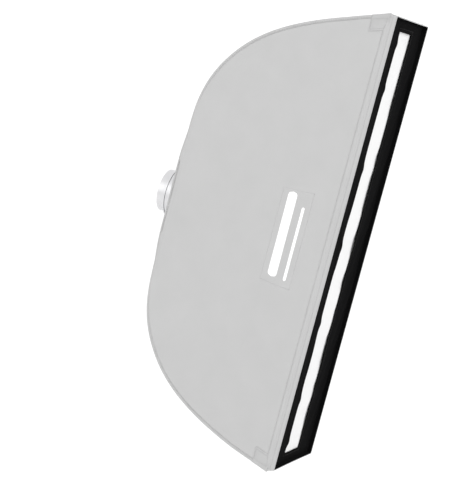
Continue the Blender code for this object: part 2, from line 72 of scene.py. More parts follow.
LIP_LOW, LIP_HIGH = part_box("front_lip")
MASK_LOW, MASK_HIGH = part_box("strip_mask")
LINING_LOW, LINING_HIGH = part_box("rubber_lining")
CUFF_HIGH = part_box("rear_cuff")[1]
FLAP_FRONT_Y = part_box("mask_hook_flap")[0].y
DIFFUSER_FRONT_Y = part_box("front_diffuser")[0].y
BAFFLE_TOP_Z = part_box("inner_baffle")[1].z
RING_FRONT_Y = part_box("speedring")[0].y
REAR_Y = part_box("top_end_panel")[1].y

# The rod corners, where the shell meets its lip, the rectangle that it ends on at the cuff, and the
# hub that the cuff is gathered round
CORNER_X, CORNER_Z = LIP_HIGH.x, LIP_HIGH.z
LIP_Y = LIP_LOW.y
CORNER_Y = LIP_Y + 0.018
REAR_X = CUFF_HIGH.x + 0.0015
REAR_Z = CUFF_HIGH.z + 0.0003
SHELL_DEPTH = REAR_Y - CORNER_Y
HUB_R = 0.0665

# Control points of the corner seam in side view: (height, distance behind the rod corners).
# A place along the seam is t, from 0 at the rod corner to 1 at the rear cuff.
SEAM_CURVE = ((CORNER_Z, 0.0), (0.528, 0.318), (0.447, 0.473), (REAR_Z, SHELL_DEPTH))
SEAM_GAP = 0.0018

# The shell's weight draws it down between the lip and the cuff. Its tension pulls its panels inwards
# and holds it off the rods' curve: (place t, reach in t, distance outwards), nothing at the cuff.
SHELL_SAG = 0.0038
SIDE_BOW = 0.010
END_BOW = 0.008
STAND_OFF = ((0.35, 0.22, -0.0018), (0.74, 0.12, 0.0036), (0.93, 0.08, -0.0046))
STAND_OFF_END = 0.08

# Folds in the stretched panels: how far each kind stands out, and the length of one pucker
SLACK, FINE_SLACK = 0.0013, 0.0005
SEAM_PUCKER, SEAM_PUCKER_PITCH = 0.0006, 0.031
LIP_PUCKER, LIP_PUCKER_PITCH = 0.0008, 0.045
CUFF_PULL, POCKET_PULL = 0.0016, 0.0018

# Thicknesses of cloth and tape
FABRIC = 0.0012
BINDING = 0.0007
MASK_CLOTH = 0.0008
FLAP_CLOTH = 0.0011
LIGHT_CLOTH = 0.0006
HEM_CLOTH = 0.0005

# The lip, the tape sewn inside it and the gap to the mask's flap. The lip narrows forwards, and its
# upper edge is stretched upwards.
LIP_TAPER_X, LIP_TAPER_Z = 0.003, 0.007
LIP_RADIUS = 0.0045
LIP_CLOTH = 0.0008
LIP_TAPE = 0.0004
FLAP_INSET = 0.0014
TOP_RAISE = 0.0055

# The printed patch: its reach in t, and its ends as shares of the side panel's half height
LABEL_T = (0.078, 0.185)
LABEL_SHARES = (-0.23, 0.21)
LABEL_PROUD = 0.0003

# The mask's slot, and the storage creases across it. The right half of the mask lies flatter.
SLOT_HALF_X = 0.053
SLOT_HALF_Z = 0.572
SLOT_HEM = 0.009
CREASES = (-0.54, -0.42, -0.21, 0.0, 0.21, 0.42, 0.54)
CREASE_HEIGHT, CREASE_REACH = 0.0024, 0.012
ROLL_HEIGHT = 0.0016
RIGHT_CREASE_SHARE = 0.4

# Width of the diffuser's and the baffle's hems, and how far any hem tape lies in front of its cloth.
# The diffuser swells forward, inside its hems, until it almost touches the mask.
HEM_WIDTH = 0.0085
HEM_LIFT = FORWARD * 0.0006
BILLOW_RISE = 0.014
MASK_CLEARANCE = 0.0026

# How far the baffle's patches lie under the cloth of the end panels
PATCH_SUNK = 0.0010

CORNERS = {"left_top": (-1, 1), "right_top": (1, 1), "left_bottom": (-1, -1), "right_bottom": (1, -1)}


# ---- Small helpers


def steps(count, low=0.0, high=1.0):
    """Evenly spaced values from low to high, in this many steps."""
    return [low + (high - low) * i / count for i in range(count + 1)]


def mix(a, b, share):
    return a + (b - a) * share


def scaled(colour, factor):
    return [min(1.0, c * factor) for c in colour]


def fade(distance, reach):
    """1 at distance 0, falling smoothly to nearly 0 past reach."""
    return math.exp(-((distance / reach) ** 2))


def wander(point, scale, seed=0.0):
    """Smooth noise from -1 to 1 that changes over a length of 1 / scale."""
    return noise.noise(Vector(point) * scale + Vector((seed, 3.1 * seed, 7.7)))


def round_point(radius, angle, y=0.0):
    """A point on a circle about the Y axis."""
    return Vector((radius * math.cos(angle), y, radius * math.sin(angle)))


def link(obj):
    bpy.context.scene.collection.objects.link(obj)
    return obj


# ---- Materials


class Shader:
    """A material's node tree, written as calls that return sockets."""

    def __init__(self, name):
        self.material = bpy.data.materials.new(name)
        self.material.use_nodes = True
        self.tree = self.material.node_tree
        self.principled = self.tree.nodes["Principled BSDF"]

    def put(self, socket, value):
        if isinstance(value, bpy.types.NodeSocket):
            self.tree.links.new(value, socket)
        else:
            socket.default_value = value

    def node(self, kind, output=0, settings=None, **inputs):
        """Adds a node. Its inputs go by name, or by number as i0, i1 and so on."""
        made = self.tree.nodes.new(kind)
        for key, value in (settings or {}).items():
            setattr(made, key, value)
        for key, value in inputs.items():
            socket = int(key[1:]) if key[1:].isdigit() else key.replace("_", " ")
            self.put(made.inputs[socket], value)
        return made.outputs[output]

    def place(self):
        """The piece's own coordinates."""
        return self.tree.nodes.new("ShaderNodeTexCoord").outputs["Object"]

    def math(self, operation, a, b=0.0):
        return self.node("ShaderNodeMath", settings={"operation": operation}, i0=a, i1=b)

    def blend(self, share, low, high):
        """A colour between low and high, by a share from 0 to 1."""
        made = self.tree.nodes.new("ShaderNodeMix")
        made.data_type = "RGBA"
        self.put(made.inputs[0], share)
        for socket, colour in ((made.inputs[6], low), (made.inputs[7], high)):
            self.put(socket, colour if isinstance(colour, bpy.types.NodeSocket) else (*colour, 1.0))
        return made.outputs[2]

    def noise(self, where, scale, detail=3.0, roughness=0.55):
        kind = "ShaderNodeTexNoise"
        return self.node(kind, Vector=where, Scale=scale, Detail=detail, Roughness=roughness)

    def span(self, value, low, high, to_low=0.0, to_high=1.0):
        return self.node("ShaderNodeMapRange", i0=value, i1=low, i2=high, i3=to_low, i4=to_high)

    def set(self, **inputs):
        for key, value in inputs.items():
            self.put(self.principled.inputs[key.replace("_", " ")], value)
        return self

    def bump(self, height, strength, distance):
        self.set(Normal=self.node("ShaderNodeBump", Strength=strength, Distance=distance, Height=height))
        return self


def cloth_axes(shader, mapped):
    """The two directions of a cloth's threads in metres, and a place for noise."""
    coordinates = shader.tree.nodes.new("ShaderNodeTexCoord")
    place = coordinates.outputs["Object"]
    split = shader.node("ShaderNodeSeparateXYZ", Vector=coordinates.outputs["UV"] if mapped else place)
    axes = split.node.outputs
    if mapped:
        return axes[0], axes[1], place
    return shader.math("ADD", axes[0], axes[1]), axes[2], place


def weave(shader, u, v, pitch):
    """Height of a plain weave with this thread pitch."""
    turn = 2 * math.pi / pitch
    across = shader.math("SINE", shader.math("MULTIPLY", u, turn))
    along = shader.math("SINE", shader.math("MULTIPLY", v, turn))
    return shader.math("MULTIPLY", across, along)


def worn(shader):
    """1 along the borders of a made sheet, 0 inside it and on pieces without borders."""
    return shader.node("ShaderNodeAttribute", 2, {"attribute_name": "border"})


def cloth_material(
    name, colour, pitch=0.0009, relief=0.00008, roughness=0.85, mottling=0.05, edge=1.12,
    sheen=0.15, specular=0.3, grid=None,
):
    """Woven cloth: plain weave, faint mottling, paler worn borders, and a ripstop grid if asked."""
    shader = Shader(name)
    u, v, place = cloth_axes(shader, True)
    height = weave(shader, u, v, pitch)
    cloudy = shader.noise(place, 14.0, 5.0)
    speckle = shader.noise(place, 900.0, 2.0)
    share = shader.math("ADD", shader.math("MULTIPLY", cloudy, 0.7), shader.math("MULTIPLY", speckle, 0.3))
    low, high = scaled(colour, 1 - mottling), scaled(colour, 1 + mottling)
    tone = shader.blend(shader.span(share, 0.3, 0.7), low, high)
    tone = shader.blend(shader.math("MULTIPLY", worn(shader), cloudy), tone, scaled(colour, edge))
    if grid:
        lines = [
            shader.math("GREATER_THAN", shader.math("FRACT", shader.math("MULTIPLY", w, 1 / grid)), 0.9)
            for w in (u, v)
        ]
        line = shader.math("MAXIMUM", *lines)
        height = shader.math("ADD", height, shader.math("MULTIPLY", line, 1.6))
        tone = shader.blend(shader.math("MULTIPLY", line, 0.5), tone, scaled(colour, 0.93))
    rough = shader.span(cloudy, 0.2, 0.8, roughness - 0.06, min(1.0, roughness + 0.06))
    shader.set(Base_Color=tone, Roughness=rough, Sheen_Weight=sheen, Sheen_Roughness=0.5)
    shader.set(Specular_IOR_Level=specular)
    return shader.bump(height, 0.6, relief).material


def tape_material(name, colour):
    """Hook-and-loop tape: short fuzz standing on a cloth back."""
    shader = Shader(name)
    fuzz = shader.noise(shader.place(), 1400.0, 3.0, 0.7)
    tone = shader.blend(shader.span(fuzz, 0.35, 0.7), scaled(colour, 0.6), scaled(colour, 1.7))
    shader.set(Base_Color=tone, Roughness=0.95, Sheen_Weight=0.4)
    return shader.bump(fuzz, 0.9, 0.0006).material


def webbing_material(name, colour, pitch=0.0022):
    """Heavy ribbed webbing."""
    shader = Shader(name)
    u, v, place = cloth_axes(shader, False)
    ribs = shader.math("SINE", shader.math("MULTIPLY", u, 2 * math.pi / pitch))
    threads = weave(shader, u, v, pitch / 2)
    cloudy = shader.noise(place, 30.0, 4.0)
    tone = shader.blend(cloudy, scaled(colour, 0.88), scaled(colour, 1.1))
    shader.set(Base_Color=tone, Roughness=shader.span(cloudy, 0.2, 0.8, 0.78, 0.92), Sheen_Weight=0.2)
    height = shader.math("ADD", ribs, shader.math("MULTIPLY", threads, 0.5))
    return shader.bump(height, 0.7, 0.00018).material


def metal_material(name, colour, roughness, grain):
    """Metal with fine turning or drawing marks, smudges, and edges rubbed paler."""
    shader = Shader(name)
    place = shader.place()
    drawn = shader.node("ShaderNodeMapping", Vector=place, Scale=grain)
    marks = shader.noise(drawn, 60.0, 4.0, 0.65)
    smudge = shader.noise(place, 35.0, 4.0)
    edge = shader.node("ShaderNodeNewGeometry").node.outputs["Pointiness"]
    rubbed = shader.math("MULTIPLY", shader.span(edge, 0.52, 0.60), 0.25)
    tone = shader.blend(marks, scaled(colour, 0.9), scaled(colour, 1.08))
    tone = shader.blend(rubbed, tone, (0.85, 0.85, 0.86))
    rough = shader.math("ADD", shader.span(smudge, 0.3, 0.7, -0.07, 0.09), roughness)
    shader.set(Base_Color=tone, Metallic=1.0, Roughness=rough)
    return shader.bump(marks, 0.12, 0.00005).material


def plastic_material(name, colour, roughness, texture=900.0, relief=0.00006):
    """Moulded plastic or rubber: fine spark-eroded texture and handled, shinier patches."""
    shader = Shader(name)
    place = shader.place()
    grain = shader.noise(place, texture, 2.0, 0.6)
    handled = shader.noise(place, 45.0, 3.0)
    tone = shader.blend(handled, scaled(colour, 0.88), scaled(colour, 1.1))
    rough = shader.span(handled, 0.3, 0.7, roughness - 0.08, roughness + 0.06)
    shader.set(Base_Color=tone, Roughness=rough)
    return shader.bump(grain, 0.5, relief).material


def print_material(name, colour):
    """Screen-printed ink, very slightly broken by the weave under it."""
    shader = Shader(name)
    u, v, place = cloth_axes(shader, True)
    height = weave(shader, u, v, 0.0009)
    rub = shader.span(shader.noise(place, 500.0, 4.0), 0.25, 0.45)
    tone = shader.blend(rub, scaled(colour, 0.9), colour)
    shader.set(Base_Color=tone, Roughness=0.55)
    return shader.bump(height, 0.4, 0.00005).material


SHELL_GREY = (0.449, 0.449, 0.449)
BLACK = (0.0045, 0.0045, 0.0047)
WHITE = (0.675, 0.675, 0.675)

MATERIALS = {
    "shell": cloth_material("shell_nylon", SHELL_GREY, mottling=0.025, edge=1.05),
    "lining": cloth_material("silver_lining", (0.66, 0.66, 0.67), roughness=0.45, sheen=0.0),
    "binding": webbing_material("grey_binding", (0.45, 0.45, 0.45), 0.0016),
    "pocket": webbing_material("grey_pocket_webbing", (0.44, 0.44, 0.44)),
    "thread": plastic_material("grey_thread", (0.40, 0.40, 0.40), 0.7, 2500.0),
    "black": cloth_material("black_nylon", BLACK, edge=1.6, sheen=0.002, mottling=0.15, specular=0.01),
    "black_thread": plastic_material("black_thread", (0.02, 0.02, 0.02), 0.65, 2500.0),
    "white_thread": plastic_material("white_thread", (0.75, 0.75, 0.75), 0.7, 2500.0),
    "diffusion": cloth_material(
        "diffusion_cloth", WHITE, pitch=0.0006, relief=0.00004, mottling=0.015, edge=1.0, grid=0.006
    ),
    "white_tape": webbing_material("white_hem_tape", (0.80, 0.80, 0.80), 0.0012),
    "loop_tape": tape_material("black_loop_tape", (0.011, 0.011, 0.011)),
    "white_hook": tape_material("white_hook_tape", (0.42, 0.42, 0.42)),
    "elastic": webbing_material("black_elastic", (0.020, 0.020, 0.021), 0.0014),
    "anodised": metal_material("anodised_aluminium", (0.62, 0.62, 0.63), 0.34, (4, 60, 4)),
    "steel": metal_material("zinc_steel", (0.55, 0.55, 0.56), 0.30, (6, 6, 40)),
    "socket": metal_material("satin_socket", (0.50, 0.50, 0.51), 0.38, (30, 30, 3)),
    "rod": plastic_material("glass_fibre_rod", (0.30, 0.30, 0.31), 0.36, 1800.0, 0.00003),
    "tip": plastic_material("moulded_tip", (0.33, 0.33, 0.34), 0.5),
    "knob": plastic_material("moulded_knob", (0.30, 0.30, 0.31), 0.5),
    "rubber": plastic_material("black_rubber", (0.03, 0.03, 0.03), 0.75, 500.0, 0.0001),
    "print": print_material("white_print", (0.93, 0.93, 0.93)),
}


# ---- Mesh building


def finish_mesh(obj, body, material, lining=None):
    obj.data.materials.append(MATERIALS[material])
    if lining:
        obj.data.materials.append(MATERIALS[lining])
    obj.data.shade_smooth()
    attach(obj, body)
    return obj


def mesh_object(name, shape):
    """Makes a finished bmesh into an object, and frees it."""
    mesh = bpy.data.meshes.new(name)
    shape.to_mesh(mesh)
    shape.free()
    return link(bpy.data.objects.new(name, mesh))


def loft(name, rows, outward, closed=False, keep=None):
    """A quad sheet through rows of points, with its threads' metric UVs and a border attribute."""
    shape = bmesh.new()
    uv = shape.loops.layers.uv.new("cloth")
    grid = [[shape.verts.new(point) for point in row] for row in rows]
    middle = rows[len(rows) // 2]
    across = [0.0]
    for a, b in zip(middle, middle[1:] + ([middle[0]] if closed else [])):
        across.append(across[-1] + (Vector(b) - Vector(a)).length)
    along = [0.0]
    column = len(middle) // 2
    for near, far in zip(rows, rows[1:]):
        along.append(along[-1] + (Vector(far[column]) - Vector(near[column])).length)
    count = len(middle) if closed else len(middle) - 1
    for i in range(len(rows) - 1):
        for j in range(count):
            if keep and not keep(i, j):
                continue
            n = (j + 1) % len(middle)
            corners = ((i, j, j), (i, n, j + 1), (i + 1, n, j + 1), (i + 1, j, j))
            face = shape.faces.new([grid[a][b] for a, b, _ in corners])
            for loop, (a, _, c) in zip(face.loops, corners):
                loop[uv].uv = (across[c], along[a])
    shape.normal_update()
    shape.faces.ensure_lookup_table()
    probe = shape.faces[len(shape.faces) // 2]
    towards = outward(probe.calc_center_median()) if callable(outward) else Vector(outward)
    if probe.normal.dot(towards) < 0:
        bmesh.ops.reverse_faces(shape, faces=shape.faces)
    bmesh.ops.delete(shape, geom=[v for v in shape.verts if not v.link_faces], context="VERTS")
    border = border_values(shape)
    sheet = mesh_object(name, shape)
    sheet.data.attributes.new("border", "FLOAT", "POINT").data.foreach_set("value", border)
    return sheet


def border_values(shape):
    """1 for the points on a sheet's free edges, 0.4 for the points next to them, 0 for the others."""
    values = []
    for vertex in shape.verts:
        beside = any(e.other_vert(vertex).is_boundary for e in vertex.link_edges)
        values.append(1.0 if vertex.is_boundary else 0.4 * beside)
    return values


def thicken(obj, thickness, offset=-1.0, lining=False):
    solid = obj.modifiers.new("thickness", "SOLIDIFY")
    solid.thickness = thickness
    solid.offset = offset
    solid.use_even_offset = True
    if lining:
        solid.material_offset = 1
    return obj


def join_rings(shape, ring, following):
    """Faces between two rings with the same number of points."""
    for i in range(len(ring)):
        n = (i + 1) % len(ring)
        shape.faces.new((ring[i], ring[n], following[n], following[i]))


def turned(name, profile, steps_round=96):
    """A closed profile of (radius, distance in front of the adapter's rear face) turned about Y."""
    turn = 2 * math.pi / steps_round
    shape = bmesh.new()
    rings = []
    for radius, forward in profile:
        points = [round_point(radius, i * turn, -forward) for i in range(steps_round)]
        rings.append([shape.verts.new(point) for point in points])
    for ring, following in zip(rings, rings[1:] + rings[:1]):
        join_rings(shape, ring, following)
    bmesh.ops.recalc_face_normals(shape, faces=shape.faces)
    return mesh_object(name, shape)


def walk(points, pitch):
    """Evenly spaced (place, direction, index of the place with its fraction) along a line of points."""
    lengths = [0.0]
    for a, b in zip(points, points[1:]):
        lengths.append(lengths[-1] + (b - a).length)
    count = int(lengths[-1] / pitch)
    i = 0
    for n in range(count):
        at = (n + 0.5) * lengths[-1] / count
        while lengths[i + 1] < at:
            i += 1
        share = (at - lengths[i]) / (lengths[i + 1] - lengths[i])
        a, b = points[i], points[i + 1]
        yield a.lerp(b, share), (b - a).normalized(), i + share


# Points of a stitch in half lengths, half widths and half heights: round its foot, then its two crests
STITCH_FOOT = ((-1, 0, 0), (-0.5, 1, 0.2), (0.5, 1, 0.2), (1, 0, 0), (0.5, -1, 0.2), (-0.5, -1, 0.2))
STITCH_CRESTS = ((-0.55, 0, 2), (0.55, 0, 2))
STITCH_FACES = ((0, 6, 1), (1, 6, 7, 2), (2, 7, 3), (3, 7, 4), (4, 7, 6, 5), (5, 6, 0), range(6))


def stitching(name, runs, material, body, pitch=0.0062, size=(0.0040, 0.0009, 0.0004)):
    """Rows of stitches. Each run is (points, outward direction or a list of them)."""
    shape = bmesh.new()
    long, wide, high = (s / 2 for s in size)
    for points, outward in runs:
        for place, way, index in walk(points, pitch):
            up = outward
            if isinstance(outward, list):
                low = min(int(index), len(outward) - 2)
                up = outward[low].lerp(outward[low + 1], index - low)
            side = way.cross(up).normalized()
            up = side.cross(way).normalized()
            made = [
                shape.verts.new(place + way * a * long + side * b * wide + up * c * high)
                for a, b, c in STITCH_FOOT + STITCH_CRESTS
            ]
            for face in STITCH_FACES:
                shape.faces.new([made[i] for i in face])
    bmesh.ops.recalc_face_normals(shape, faces=shape.faces)
    return finish_mesh(mesh_object(name, shape), body, material)


# ---- The shell's corner seam and the surfaces stretched between its four copies


def stand_off(t):
    """How far the cloth lies outside the rods' curve at t, nothing at the rear edge."""
    held = min(1.0, (1 - t) / STAND_OFF_END)
    return held * sum(out * fade(t - place, reach) for place, reach, out in STAND_OFF)


def seam(t, inset=0.0):
    """(height, y) of the corner seam at t, or of a line that lies this far inside it."""
    inset -= stand_off(t)
    k = 1 - t
    weights = (k**3, 3 * k * k * t, 3 * k * t * t, t**3)
    slopes = (-k * k, k * k - 2 * k * t, 2 * k * t - t * t, t * t)
    height = sum(w * p[0] for w, p in zip(weights, SEAM_CURVE))
    behind = sum(w * p[1] for w, p in zip(weights, SEAM_CURVE))
    along = Vector([sum(s * p[i] for s, p in zip(slopes, SEAM_CURVE)) for i in (0, 1)]).normalized()
    return height - inset * along.y, CORNER_Y + behind + inset * along.x


def sag(t):
    """Downward shift of the whole shell at t, none where it is held at the lip and at the cuff."""
    return Vector((0, 0, -SHELL_SAG * min(1.0, t * 8) * min(1.0, (1 - t) * 4)))


def seam_x(height):
    """Half width of the shell at this height of its corner seam."""
    return REAR_X + (height - REAR_Z) * (CORNER_X - REAR_X) / (CORNER_Z - REAR_Z)


def end_normal(t):
    """Outward direction of the top end panel at t, as a (height, y) pair."""
    height, y = seam(t)
    deeper, behind = seam(t, -1.0)
    return deeper - height, behind - y


def folds(t, share, along, edge, seed):
    """How far stretched cloth stands in or out: slack, seam puckers and pulls from the corners."""
    slack = SLACK * wander((along * 2.6, edge * 1.4, t), 3.0, seed)
    slack += FINE_SLACK * wander((along * 5.0, edge * 2.0, t), 9.0, seed)
    wave = 2 * math.pi * along / SEAM_PUCKER_PITCH + 3 * wander((along, 0, 0), 9, seed)
    pucker = SEAM_PUCKER * fade(1 - abs(share), 0.05) * math.sin(wave)
    wave = 2 * math.pi * edge / LIP_PUCKER_PITCH + 2 * wander((edge, 0, 0), 6, seed)
    front = LIP_PUCKER * fade(t, 0.05) * math.sin(wave)
    corner = fade(1 - t, 0.16) * abs(share) ** 2
    pulls = CUFF_PULL * corner * math.sin(9.0 * (1 - t) / (0.25 + abs(share)) + 2 * share)
    pocket = fade(t, 0.14) * fade(1 - abs(share), 0.14)
    pulls += POCKET_PULL * pocket * math.sin(14 * math.atan2(1 - abs(share), t + 0.01) + seed)
    return slack + pucker + front + pulls


def side_point(side, t, share, proud=0.0):
    """A point of the left (-1) or right (1) panel, share of the way from its middle to a seam."""
    full_height, _ = seam(t)
    height, y = seam(t, SEAM_GAP)
    bow = SIDE_BOW * math.sin(math.pi * t) * (1 - share**2)
    held = 1 - abs(share) ** 6
    out = folds(t, share, y - CORNER_Y, share * height, 1.7 * side) * held * min(1.0, t * 12)
    return Vector((side * (seam_x(full_height) - bow + proud + out), y, share * height)) + sag(t)


def end_point(end, t, share, inset=0.0):
    """A point of the bottom (-1) or top (1) panel, share of the way from its middle to a seam."""
    bow = END_BOW * math.sin(math.pi * t) * (1 - share**2)
    width = seam_x(seam(t)[0])
    out = folds(t, share, seam(t)[1] - CORNER_Y, share * width, 5.3 * end)
    out *= (1 - abs(share) ** 6) * min(1.0, t * 12)
    height, y = seam(t, bow + inset - out)
    return Vector((share * width, y, end * height)) + sag(t)


def build_panels():
    for name, side in (("left", -1), ("right", 1)):
        rows = [[side_point(side, t, share) for share in steps(120, -1, 1)] for t in steps(76)]
        finish_panel(f"{name}_side", rows, (side, 0, 0))
    for name, end in (("top", 1), ("bottom", -1)):
        rows = [[end_point(end, t, share) for share in steps(36, -1, 1)] for t in steps(90)]
        finish_panel(f"{name}_end", rows, (0, 0.5, end))


def finish_panel(name, rows, outward):
    """Shell cloth with a silver inside, stretched over the four rods."""
    panel = loft(f"{name}_cloth", rows, outward)
    finish_mesh(thicken(panel, FABRIC, lining=True), "softbox", "shell", "lining")
    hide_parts(f"{name}_panel")


def seam_frame(sx, sz, t):
    """Seam point and the outward directions of the side panel and the end panel there."""
    height, y = seam(t)
    out_z, out_y = end_normal(t)
    place = Vector((sx * seam_x(height), y, sz * height)) + sag(t)
    return place, Vector((sx, 0, 0)), Vector((0, out_y, sz * out_z))


def build_bindings():
    """Tape folded over each corner seam, with a row of stitches on both of its legs."""
    width = 0.0075
    proud = 0.0008
    for name, (sx, sz) in CORNERS.items():
        rows = []
        side_line, end_line, end_outs = [], [], []
        for t in steps(120, 0.004, 0.998):
            place, side_out, end_out = seam_frame(sx, sz, t)
            into_side = -end_out
            into_end = -side_out
            ripple = 0.0004 * wander((t * 40, sx, sz), 1.0)
            leg = ((width + ripple, 1.0), (width * 0.5, 1.2), (0.0010, 1.3))
            side_leg = [place + into_side * back + side_out * proud * lift for back, lift in leg]
            end_leg = [place + into_end * back + end_out * proud * lift for back, lift in leg]
            crest = place + side_out * 0.0006 + end_out * 0.0006
            rows.append(side_leg + [crest] + end_leg[::-1])
            side_line.append(place + into_side * width * 0.62 + side_out * proud * 1.25)
            end_line.append(place + into_end * width * 0.62 + end_out * proud * 1.25)
            end_outs.append(end_out)
        tape = loft(f"seam_binding_{name}", rows, (sx, 0, 0))
        finish_mesh(thicken(tape, BINDING), "softbox", "binding")
        runs = [(side_line, Vector((sx, 0, 0))), (end_line, end_outs)]
        stitching(f"seam_stitches_{name}", runs, "thread", "softbox")


def frame_loop(half_x, half_z, y, radius, sag_x=0.0, sag_z=0.0, counts=(32, 120, 6)):
    """Points round a rectangle with rounded corners; its sides bow inwards by up to the sags."""
    short, long, arc = counts
    points = []
    turns = ((1, 1), (-1, 1), (-1, -1), (1, -1))
    for corner, (sx, sz) in enumerate(turns):
        centre = Vector((sx * (half_x - radius), y, sz * (half_z - radius)))
        for i in range(arc + 1):
            angle = math.pi / 2 * (corner + i / arc)
            points.append(centre + radius * round_point(1.0, angle))
        following = turns[(corner + 1) % 4]
        target = Vector((following[0] * (half_x - radius), y, following[1] * (half_z - radius)))
        outward = round_point(1.0, math.pi / 2 * (corner + 1))
        start, end = points[-1], target + radius * outward
        count, sag = (short, sag_z) if corner % 2 == 0 else (long, sag_x)
        for i in range(1, count):
            share = i / count
            points.append(start.lerp(end, share) - outward * sag * math.sin(math.pi * share))
    return points


def away_from_axis(point):
    """Outward direction on a rectangular frame, taken from the nearer kind of side."""
    if abs(point.x) / CORNER_X > abs(point.z) / CORNER_Z:
        return Vector((math.copysign(1, point.x), 0, 0))
    return Vector((0, 0, math.copysign(1, point.z)))


def lip_loop(share, proud=0.0):
    """Loop round the lip, from its seam at share 0 to its forward edge at share 1."""
    half_x = CORNER_X - LIP_TAPER_X * share + proud
    half_z = CORNER_Z - LIP_TAPER_Z * share + proud
    bow = 0.0008 * share
    points = frame_loop(half_x, half_z, mix(CORNER_Y, LIP_Y, share), LIP_RADIUS, bow, bow)
    for point in points:
        point.z += TOP_RAISE * share * max(0.0, point.z / half_z)
    return points


def build_lip():
    """Hemmed forward lip sewn over the shell's front edge, with loop tape inside it."""
    overlap, proud = 0.009, 0.0009
    narrowing_x, narrowing_z = 0.032, 0.248
    over_x = CORNER_X - narrowing_x * overlap + proud
    over_z = CORNER_Z - narrowing_z * overlap + proud
    rows = [frame_loop(over_x, over_z, CORNER_Y + overlap, LIP_RADIUS)]
    seam_ridge = ((-0.03, 0.0013), (0.05, 0.0010), (0.12, 0.0004), (0.30, 0.0002))
    front_hem = ((0.35, 0.0006), (0.50, 0.0008), (0.80, 0.0008), (0.96, 0.0006), (1.0, 0.0))
    rows += [lip_loop(share, lift) for share, lift in seam_ridge + front_hem]
    lip = loft("front_lip_cloth", rows, away_from_axis, closed=True)
    finish_mesh(thicken(lip, LIP_CLOTH), "softbox", "shell")
    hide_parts("front_lip")
    runs = []
    for share in (0.42, 0.90):
        loop = lip_loop(share, proud)
        runs.append((loop, [away_from_axis(p) for p in loop]))
    stitching("lip_stitches", runs, "thread", "softbox")

    rows = [lip_loop(share, -LIP_CLOTH - 0.0001) for share in (0.12, 0.5, 0.93)]
    tape = loft("lip_tape_cloth", rows, away_from_axis, closed=True)
    finish_mesh(thicken(tape, LIP_TAPE), "softbox", "loop_tape")
    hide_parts("lip_loop_tape")


def pocket_proud(distance, ear):
    """How far a corner patch stands out at this distance from the seam."""
    near, far = 0.0014, 0.0005
    return far + (near - far) * fade(distance, 0.012) + ear * fade(distance, 0.020)


def build_pockets():
    """Webbing patch over each rod corner, pushed out by the rod's tip into a small ear."""
    leg, reach = 0.040, 0.050
    leg_steps, turn_steps = 14, 6
    lift = 0.0004
    distances = [leg * (1 - i / leg_steps) for i in range(leg_steps)]
    for name, (sx, sz) in CORNERS.items():
        rows = []
        for t in steps(16, 0.0, reach):
            place, side_out, end_out = seam_frame(sx, sz, t)
            half_x, half_z = abs(place.x), abs(place.z - sag(t).z)
            ear = 0.0010 * fade(t, 0.022)
            row = [end_point(sz, t, sx * (1 - d / half_x), -pocket_proud(d, ear)) for d in distances]
            for i in range(turn_steps + 1):
                angle = math.pi / 2 * i / turn_steps
                out = end_out * math.cos(angle) + side_out * math.sin(angle)
                row.append(place + out * pocket_proud(0, ear))
            for d in reversed(distances):
                row.append(side_point(sx, t, sz * (1 - d / half_z), pocket_proud(d, ear)))
            rows.append(row)
        patch = loft(f"rod_pocket_{name}", rows, (0, 0, sz))
        finish_mesh(thicken(patch, LIGHT_CLOTH, 0.0), "softbox", "pocket")
        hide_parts(f"corner_pocket_{name}")

        # Stitched lines: along each leg at two of the patch's columns, then across both legs
        legs = ((2, 11, seam_frame(sx, sz, 0.02)[2]), (23, 32, Vector((sx, 0, 0))))
        runs = []
        for first, last, out in legs:
            for column in (first, last):
                runs.append(([row[column] + out * lift for row in rows[1:-1]], out))
        for row in (rows[2], rows[-2]):
            for first, last, out in legs:
                runs.append(([p + out * lift for p in row[first : last + 1]], out))
        stitching(f"rod_pocket_stitches_{name}", runs, "thread", "softbox", pitch=0.0045)


def build_cuff():
    """Rear cuff: cloth gathered from the rectangle of panels onto an elastic hem round the hub."""
    count = 144
    hole = HUB_R + 0.0011
    half_x, half_z = CUFF_HIGH.x, CUFF_HIGH.z
    rows = []
    for k in steps(14):
        row = []
        for i in range(count):
            angle = 2 * math.pi * i / count
            ring = round_point(1.0, angle)
            stretch = min(half_x / max(1e-6, abs(ring.x)), half_z / max(1e-6, abs(ring.z)))
            point = (ring * hole).lerp(ring * stretch, k)
            gather = 0.0008 * fade(k, 0.55) * math.cos(22 * angle + 2 * math.sin(3 * angle))
            point.y = REAR_Y + 0.0002 + gather * (1 - k) + 0.0006 * math.sin(math.pi * k)
            row.append(point)
        rows.append(row)
    cuff = loft("rear_cuff_cloth", rows, (0, 1, 0), closed=True)
    finish_mesh(thicken(cuff, FABRIC, lining=True), "softbox", "shell", "lining")
    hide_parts("rear_cuff")

    hem = []
    for i in range(16):
        turn = 2 * math.pi * i / 16
        hem.append((hole + 0.0030 + 0.0023 * math.cos(turn), -REAR_Y - 0.0016 + 0.0021 * math.sin(turn)))
    ring = turned("cuff_elastic_hem", hem, steps_round=160)
    for vertex in ring.data.vertices:
        angle = math.atan2(vertex.co.z, vertex.co.x)
        vertex.co.y += 0.0004 * math.cos(44 * angle)
    finish_mesh(ring, "softbox", "binding")

    build_cuff_binding(half_x, half_z)


